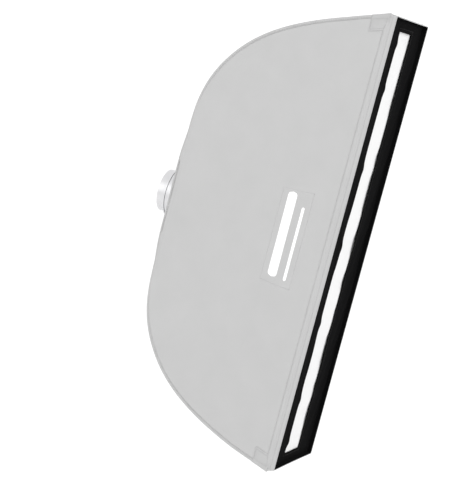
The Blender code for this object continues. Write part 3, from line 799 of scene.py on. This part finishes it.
def build_cuff_binding(half_x, half_z):
    """Tape folded over the joint between the rear cuff and the four panels."""
    width, proud, radius = 0.007, 0.0012, 0.004
    edge_x, edge_z = half_x + 0.0012, half_z + 0.0006
    inner = frame_loop(half_x - width, half_z - width, REAR_Y + proud, radius)
    edge = frame_loop(edge_x, edge_z, REAR_Y + proud, radius)
    crown = [a.lerp(b, 0.5) + Vector((0, 0.0004, 0)) for a, b in zip(inner, edge)]
    side_t, end_t = 0.955, 1 - width
    leg = []
    for point in edge:
        side, end = math.copysign(1, point.x), math.copysign(1, point.z)
        on_side = side_point(side, side_t, point.z / seam(side_t, SEAM_GAP)[0], proud)
        on_end = end_point(end, end_t, point.x / seam_x(seam(end_t)[0]), -proud)
        from_side = edge_x - abs(point.x)
        from_end = edge_z - abs(point.z)
        leg.append(on_end.lerp(on_side, from_end / max(1e-6, from_side + from_end)))
    turn = [a.lerp(b, 0.12) + Vector((0, -0.0002, 0)) for a, b in zip(edge, leg)]
    tape = loft("cuff_binding", [inner, crown, edge, turn, leg], (0, 1, 0), closed=True)
    finish_mesh(thicken(tape, BINDING), "softbox", "binding")
    line = [a.lerp(b, 0.45) + Vector((0, 0.0004, 0)) for a, b in zip(inner, edge)]
    stitching("cuff_stitches", [(line + line[:1], Vector((0, 1, 0)))], "thread", "softbox")


def rounded_bar(t_low, t_high, v_low, v_high, end):
    """Rows across a bar on the left side panel whose two ends are half round."""
    rows = []
    middle = (t_low + t_high) / 2
    for v in steps(90, v_low, v_high):
        from_end = min(v - v_low, v_high - v)
        share = math.sqrt(max(0.0, 1 - (1 - min(1.0, from_end / end)) ** 2))
        half = max(0.02, share) * (t_high - t_low) / 2
        rows.append([side_point(-1, t, v, LABEL_PROUD) for t in steps(6, middle - half, middle + half)])
    return rows


def build_label():
    """Transfer-printed patch on the left side panel, with two plain bars."""
    t_low, t_high = LABEL_T
    v_low, v_high = LABEL_SHARES
    rows = [
        [side_point(-1, t, v, LABEL_PROUD / 3) for v in steps(96, v_low, v_high)]
        for t in steps(24, t_low, t_high)
    ]
    patch = loft("label_cloth", rows, (-1, 0, 0))
    finish_mesh(thicken(patch, LABEL_PROUD / 3), "softbox", "shell")
    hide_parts("label_patch")
    # Each bar: its reach across the patch in shares, its two ends, and the length of a rounded end
    bars = {
        "wide_bar": (0.50, 0.80, v_low + 0.03, v_high - 0.01, 0.016),
        "narrow_bar": (0.18, 0.27, v_low + 0.03, v_high - 0.07, 0.006),
    }
    for name, (low, high, v_start, v_stop, end) in bars.items():
        rows = rounded_bar(mix(t_low, t_high, low), mix(t_low, t_high, high), v_start, v_stop, end)
        bar = loft(f"label_{name}", rows, (-1, 0, 0))
        finish_mesh(thicken(bar, LABEL_PROUD / 3), "softbox", "print")


# ---- Cloth stretched across the front


def settle(obj, half_x, half_z, cap, slack, seed):
    """Lets a flat sheet hang from its rim as cloth, and keeps each point within cap of its start."""
    rim, frames = 0.003, 18
    start = [v.co.copy() for v in obj.data.vertices]
    held = [i for i, p in enumerate(start) if min(half_x - abs(p.x), half_z - abs(p.z)) < rim]
    for vertex in obj.data.vertices:
        vertex.co.y += 0.0012 * wander(vertex.co, 9.0, seed)
    group = obj.vertex_groups.new(name="held")
    group.add(held, 1.0, "REPLACE")
    cloth = obj.modifiers.new("cloth", "CLOTH")
    cloth.settings.vertex_group_mass = "held"
    cloth.settings.quality = 6
    cloth.settings.mass = 0.12
    cloth.settings.tension_stiffness = 25
    cloth.settings.compression_stiffness = 25
    cloth.settings.shear_stiffness = 10
    cloth.settings.bending_stiffness = 0.4
    cloth.settings.shrink_min = -slack
    cloth.settings.air_damping = 2.0
    cloth.point_cache.frame_start = 1
    cloth.point_cache.frame_end = frames
    scene = bpy.context.scene
    for number in range(1, frames + 1):
        scene.frame_set(number)
    evaluated = obj.evaluated_get(bpy.context.evaluated_depsgraph_get())
    settled = [v.co.copy() for v in evaluated.data.vertices]
    obj.modifiers.remove(cloth)
    obj.vertex_groups.remove(group)
    scene.frame_set(1)
    for vertex, before, after in zip(obj.data.vertices, start, settled):
        move = after - before
        if move.length > cap:
            move *= cap / move.length
        vertex.co = before + move
    return obj


def axis_steps(cuts, spacing):
    """Sorted values that include every cut, no further apart than the spacing."""
    values = [cuts[0]]
    for low, high in zip(cuts, cuts[1:]):
        values += steps(max(1, round((high - low) / spacing)), low, high)[1:]
    return values


def nearest(values, wanted):
    """Index of the value closest to the wanted one."""
    return min(range(len(values)), key=lambda i: abs(values[i] - wanted))


def build_mask():
    """Black strip mask: cloth with a hemmed slot and storage creases, and a flap round it."""
    half_x = CORNER_X - LIP_TAPER_X - FLAP_INSET
    half_z = CORNER_Z - LIP_TAPER_Z - FLAP_INSET
    hem_x, hem_z = SLOT_HALF_X + SLOT_HEM, SLOT_HALF_Z + SLOT_HEM
    xs = axis_steps([-half_x, -hem_x, -SLOT_HALF_X, SLOT_HALF_X, hem_x, half_x], spacing=0.0085)
    zs = axis_steps([-half_z, -hem_z, -SLOT_HALF_Z, SLOT_HALF_Z, hem_z, half_z], spacing=0.006)

    def middle(values, i):
        return (values[i] + values[i + 1]) / 2

    def solid(i, j):
        return abs(middle(xs, j)) > SLOT_HALF_X or abs(middle(zs, i)) > SLOT_HALF_Z

    def in_hem(i, j):
        inside = abs(middle(xs, j)) < hem_x and abs(middle(zs, i)) < hem_z
        return inside and solid(i, j)

    def creased(x, z):
        """Storage folds stand forward, most at the slot's free edges; the top is stretched upwards."""
        free = max(0.0, 1 - (abs(x) - SLOT_HALF_X) / (half_x - SLOT_HALF_X))
        free *= min(1.0, (half_z - abs(z)) / 0.02)
        ridge = max(fade(z - crease, CREASE_REACH) for crease in CREASES)
        roll = 0.5 * wander((x * 0.5, 0.0, z), 2.2, 3.0)
        flat = 1.0 if x < 0 else RIGHT_CREASE_SHARE
        rise = TOP_RAISE * max(0.0, (z - SLOT_HALF_Z) / (half_z - SLOT_HALF_Z))
        forward = flat * free * (CREASE_HEIGHT * ridge + ROLL_HEIGHT * roll)
        return Vector((x, MASK_LOW.y - forward, z + rise))

    rows = [[creased(x, z) for x in xs] for z in zs]
    mask = loft("strip_mask_cloth", rows, FORWARD, keep=solid)
    settle(mask, half_x, half_z, cap=0.0012, slack=0.004, seed=2.0)
    for vertex, (i, j) in zip(mask.data.vertices, lofted_points(rows, solid)):
        rows[i][j] = vertex.co.copy()

    lifted = [[p + HEM_LIFT for p in row] for row in rows]
    hem = loft("mask_slot_hem", lifted, FORWARD, keep=in_hem)
    finish_mesh(thicken(hem, HEM_CLOTH), "mask", "black")
    finish_mesh(thicken(mask, MASK_CLOTH), "mask", "black")
    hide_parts("strip_mask")

    lift, inside = FORWARD * 0.0007, 0.0016
    left, right = nearest(xs, -hem_x), nearest(xs, hem_x)
    low, high = nearest(zs, -hem_z), nearest(zs, hem_z)
    runs = []
    for column, shift in ((left, inside), (right, -inside)):
        line = [rows[i][column] + lift + Vector((shift, 0, 0)) for i in range(low, high + 1)]
        runs.append((line, FORWARD))
    for row, shift in ((low, inside), (high, -inside)):
        line = [rows[row][j] + lift + Vector((0, 0, shift)) for j in range(left, right + 1)]
        runs.append((line, FORWARD))
    stitching("mask_stitches", runs, "black_thread", "mask")
    build_mask_flap(half_x, half_z)


def build_mask_flap(half_x, half_z):
    """The mask's folded edge, which grips the tape inside the lip."""
    reach = MASK_LOW.y - FLAP_FRONT_Y
    # Section of the flap: (share of its reach forwards, how far it stands off the tape)
    fold = ((-0.04, 0.0020), (0.02, 0.0006), (0.08, 0.0), (0.3, 0.0), (0.6, 0.0), (1.0, 0.0002))
    rows = []
    for share, inset in fold:
        loop = frame_loop(half_x - inset, half_z - inset, MASK_LOW.y - reach * share, 0.003)
        for point in loop:
            point.z += TOP_RAISE * max(0.0, point.z / half_z)
        rows.append(loop)
    flap = loft("mask_flap_cloth", rows, away_from_axis, closed=True)
    finish_mesh(thicken(flap, FLAP_CLOTH), "mask", "black")
    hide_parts("mask_hook_flap")


def lofted_points(rows, keep):
    """Grid indices of the points that a loft with this keep rule leaves, in its order."""
    used = set()
    for i in range(len(rows) - 1):
        for j in range(len(rows[0]) - 1):
            if keep(i, j):
                used.update(((i, j), (i, j + 1), (i + 1, j), (i + 1, j + 1)))
    return [(i, j) for i in range(len(rows)) for j in range(len(rows[0])) if (i, j) in used]


def hung_sheet(name, body, node, seed, cap, billow=0.0):
    """A rectangle of diffusion cloth in its node's box, hemmed with tape.

    Inside its hems the cloth stands forward by billow.
    """
    low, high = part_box(node)
    half_x, half_z = high.x, high.z
    xs = axis_steps([-half_x, half_x], spacing=0.0105)
    zs = axis_steps([-half_z, half_z], spacing=0.0105)
    sheet = loft(name, [[Vector((x, low.y, z)) for x in xs] for z in zs], FORWARD)

    def rim(i, j):
        return i < 1 or i >= len(zs) - 2 or j < 1 or j >= len(xs) - 2

    settle(sheet, half_x, half_z, cap, slack=0.003, seed=seed)
    for vertex in sheet.data.vertices:
        inside = min(half_x - abs(vertex.co.x), half_z - abs(vertex.co.z)) - HEM_WIDTH
        vertex.co.y -= billow * math.sin(math.pi / 2 * min(1.0, max(0.0, inside / BILLOW_RISE)))
    lifted = [vertex.co + HEM_LIFT for vertex in sheet.data.vertices]
    rows = [lifted[start : start + len(xs)] for start in range(0, len(lifted), len(xs))]
    hem = loft(f"{name}_hem", rows, FORWARD, keep=rim)
    finish_mesh(thicken(hem, HEM_CLOTH), body, "white_tape")
    finish_mesh(thicken(sheet, LIGHT_CLOTH), body, "diffusion")
    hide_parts(node)
    inner = 0.75 * HEM_WIDTH
    line = frame_loop(half_x - inner, half_z - inner, low.y - 0.0014, 0.002)
    runs = [(line + line[:1], FORWARD)]
    stitching(f"{name}_stitches", runs, "white_thread", body)


def build_sheets():
    to_mask = DIFFUSER_FRONT_Y - MASK_HIGH.y - MASK_CLEARANCE
    hung_sheet("diffuser_cloth", "diffuser", "front_diffuser", seed=4.0, cap=0.0012, billow=to_mask)
    hung_sheet("baffle_cloth", "baffle", "inner_baffle", seed=6.0, cap=0.006)


# ---- Adapter


def build_lining():
    """Rubber lining with grip ribs on its inside."""
    outer, inner = LINING_HIGH.x, 0.0505
    groove = inner + 0.0010
    front, rear = -LINING_LOW.y, -LINING_HIGH.y
    ribs, margin = 15, 0.003
    profile = [(outer, front), (outer, rear), (groove, rear)]
    pitch = (front - rear - 2 * margin) / ribs
    for i in range(ribs):
        start = rear + margin + i * pitch
        rib = ((groove, 0.0), (inner, 0.22), (inner, 0.60), (groove, 0.82))
        profile += [(radius, start + share * pitch) for radius, share in rib]
    profile.append((groove, front))
    lining = turned("ribbed_lining", profile)
    finish_mesh(lining, "adapter", "rubber")
    lining.data.set_sharp_from_angle(angle=math.radians(50))
    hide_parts("rubber_lining")


# Head of a small screw, from its socket outwards: (radius, height above the speedring's face)
SCREW_HEAD = ((0.0008, 0.0006), (0.0010, 0.0011), (0.0019, 0.0009), (0.0023, 0.0001), (0.0023, -0.0004))


def build_ring_screws():
    """Six small countersunk screws on the speedring's front face."""
    shape = bmesh.new()
    circle_r, sides = 0.0725, 12
    for i in range(6):
        angle = math.radians(60 * i + 15)
        centre = round_point(circle_r, angle, RING_FRONT_Y)
        rings = []
        for radius, height in SCREW_HEAD:
            points = [round_point(radius, a * 2 * math.pi / sides, -height) for a in range(sides)]
            rings.append([shape.verts.new(centre + point) for point in points])
        for ring, following in zip(rings, rings[1:]):
            join_rings(shape, ring, following)
        shape.faces.new(rings[0])
        shape.faces.new(rings[-1])
    bmesh.ops.recalc_face_normals(shape, faces=shape.faces)
    screws = finish_mesh(mesh_object("ring_screws", shape), "softbox", "steel")
    screws.data.set_sharp_from_angle(angle=math.radians(40))


# Finish and material slot of each hard part whose edges are broken, by its name without its corner
HARD_PARTS = {
    "adapter_collar": ("anodised", "ring_metal"),
    "speedring": ("anodised", "ring_metal"),
    "thrust_ring": ("anodised", "ring_metal"),
    "retaining_ring": ("steel", "ring_metal"),
    "clamp_bolt": ("steel", "steel_hardware"),
    "clamp_nut": ("steel", "steel_hardware"),
    "lock_screw": ("steel", "steel_hardware"),
    "socket_pin": ("steel", "steel_hardware"),
    "clamp_knob": ("knob", "knob_plastic"),
    "lock_knob": ("knob", "knob_plastic"),
    "rod_socket": ("socket", "socket_plastic"),
    "rod_tip": ("tip", "tip_plastic"),
}

# Finish of each kind of part that stays just as the frame has it
KEPT_PARTS = {
    "rod": "rod",
    "diffuser_loop_tape": "loop_tape",
    "diffuser_hook_tape": "white_hook",
}

# Parts fastened to the end panels: finish, and the distance from the middle at which they start to
# move with the cloth
HUNG_PARTS = {
    "baffle_patch": ("loop_tape", 0.0),
    "baffle_strap": ("elastic", BAFFLE_TOP_Z),
}

# Edges turned by more than this are drawn sharp
SHARP_ANGLE = math.radians(32)


def stem_of(name):
    """The node's name without the corner that it belongs to."""
    for corner in CORNERS:
        name = name.removesuffix(f"_{corner}")
    return name


def round_off(name, node, body, finish):
    """A smooth-shaded copy of a hard part with its sharp edges broken by a small bevel."""
    shape = bmesh.new()
    shape.from_mesh(node.data)
    bmesh.ops.remove_doubles(shape, verts=shape.verts, dist=0.00001)
    bmesh.ops.dissolve_limit(
        shape, angle_limit=math.radians(1), verts=shape.verts, edges=shape.edges, delimit={"NORMAL"}
    )
    obj = mesh_object(f"{name}_smooth", shape)
    bevel = obj.modifiers.new("broken_edges", "BEVEL")
    bevel.width = 0.00035
    bevel.segments = 2
    bevel.limit_method = "ANGLE"
    bevel.angle_limit = SHARP_ANGLE
    finish_mesh(obj, body, finish)
    obj.data.set_sharp_from_angle(angle=SHARP_ANGLE)
    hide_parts(name)


def follow_cloth(name, node, body, finish, fixed_z):
    """A copy of a part that is fastened to an end panel, moved with that panel's cloth."""
    mesh = node.data.copy()
    outer_z = max(abs(vertex.co.z) for vertex in mesh.vertices)
    for vertex in mesh.vertices:
        t = min(steps(200), key=lambda t: abs(seam(t)[1] - vertex.co.y))
        share = max(0.0, (abs(vertex.co.z) - fixed_z) / (outer_z - fixed_z))
        end = math.copysign(1, vertex.co.z)
        vertex.co += (sag(t) + Vector((0, 0, end * (stand_off(t) - PATCH_SUNK)))) * share
    mesh.materials.clear()
    obj = link(bpy.data.objects.new(f"{name}_hung", mesh))
    finish_mesh(obj, body, finish)
    obj.data.set_sharp_from_angle(angle=SHARP_ANGLE)
    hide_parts(name)


def body_of(name):
    bodies = frame["record"]["behaviour"]["bodies"]
    return next(body for body, nodes in bodies.items() if name in nodes)


def finish_cad_nodes():
    """Gives every node that no cloth stands for its copy or its material."""
    for name, node in list(frame["nodes"].items()):
        stem = stem_of(name)
        if stem in HARD_PARTS:
            finish, slot = HARD_PARTS[stem]
            round_off(name, node, body_of(name), finish)
        if stem in HUNG_PARTS:
            finish, fixed_z = HUNG_PARTS[stem]
            follow_cloth(name, node, body_of(name), finish, fixed_z)
        if stem in KEPT_PARTS:
            for material_slot in node.material_slots:
                material_slot.material = MATERIALS[KEPT_PARTS[stem]]


# ---- Camera, light and floor


def add_camera():
    """Camera placed round a point of the box, with the roll that leans the strip to the right."""
    azimuth, elevation, roll = (math.radians(angle) for angle in (20.22, 7.782, 14.76))
    distance, lens = 4.4808, 119.22
    target = Vector((0, -0.2232, -0.1061))
    level = math.cos(elevation)
    back = Vector((-level * math.cos(azimuth), -level * math.sin(azimuth), math.sin(elevation)))
    data = bpy.data.cameras.new("camera")
    data.sensor_width = 36
    data.lens = lens
    camera = link(bpy.data.objects.new("camera", data))
    camera.location = target + back * distance
    right = (-back).cross(Vector((0, 0, 1))).normalized()
    up = right.cross(-back)
    turned_right = right * math.cos(roll) + up * math.sin(roll)
    turned_up = up * math.cos(roll) - right * math.sin(roll)
    basis = [[turned_right[i], turned_up[i], back[i]] for i in range(3)]
    camera.rotation_euler = Matrix(basis).to_euler()
    bpy.context.scene.camera = camera


def add_area(name, place, aim, size, power):
    data = bpy.data.lights.new(name, "AREA")
    data.shape = "RECTANGLE"
    data.size, data.size_y = size
    data.energy = power
    lamp = link(bpy.data.objects.new(name, data))
    lamp.location = place
    lamp.rotation_euler = (Vector(aim) - Vector(place)).to_track_quat("-Z", "Y").to_euler()


def add_stage():
    """White floor well below the hanging box, white surroundings and three large soft lamps."""
    clearance = 0.85
    bpy.ops.mesh.primitive_plane_add(size=60, location=(0, 0, CAD_BOX[0][2] - clearance))
    floor = bpy.context.object
    floor.name = "floor"
    shader = Shader("pale_floor")
    cloudy = shader.noise(shader.place(), 0.8)
    shader.set(Base_Color=shader.blend(cloudy, (0.93, 0.93, 0.93), (0.96, 0.96, 0.96)), Roughness=0.9)
    floor.data.materials.append(shader.material)

    world = bpy.data.worlds.new("studio")
    world.use_nodes = True
    background = world.node_tree.nodes["Background"]
    background.inputs["Color"].default_value = (1, 1, 1, 1)
    background.inputs["Strength"].default_value = 1.15
    bpy.context.scene.world = world
    bpy.context.scene.view_settings.view_transform = "Standard"

    middle = (0, -0.25, 0)
    add_area("key", (-2.6, -2.4, 2.2), middle, (1.8, 1.8), 26)
    add_area("fill", (-2.2, 1.8, 0.6), middle, (2.0, 2.0), 12)
    add_area("front", (0.8, -3.2, 0.8), middle, (2.0, 2.0), 16)


add_camera()
build_panels()
build_bindings()
build_lip()
build_pockets()
build_cuff()
build_label()
build_mask()
build_sheets()
build_lining()
build_ring_screws()
finish_cad_nodes()
add_stage()
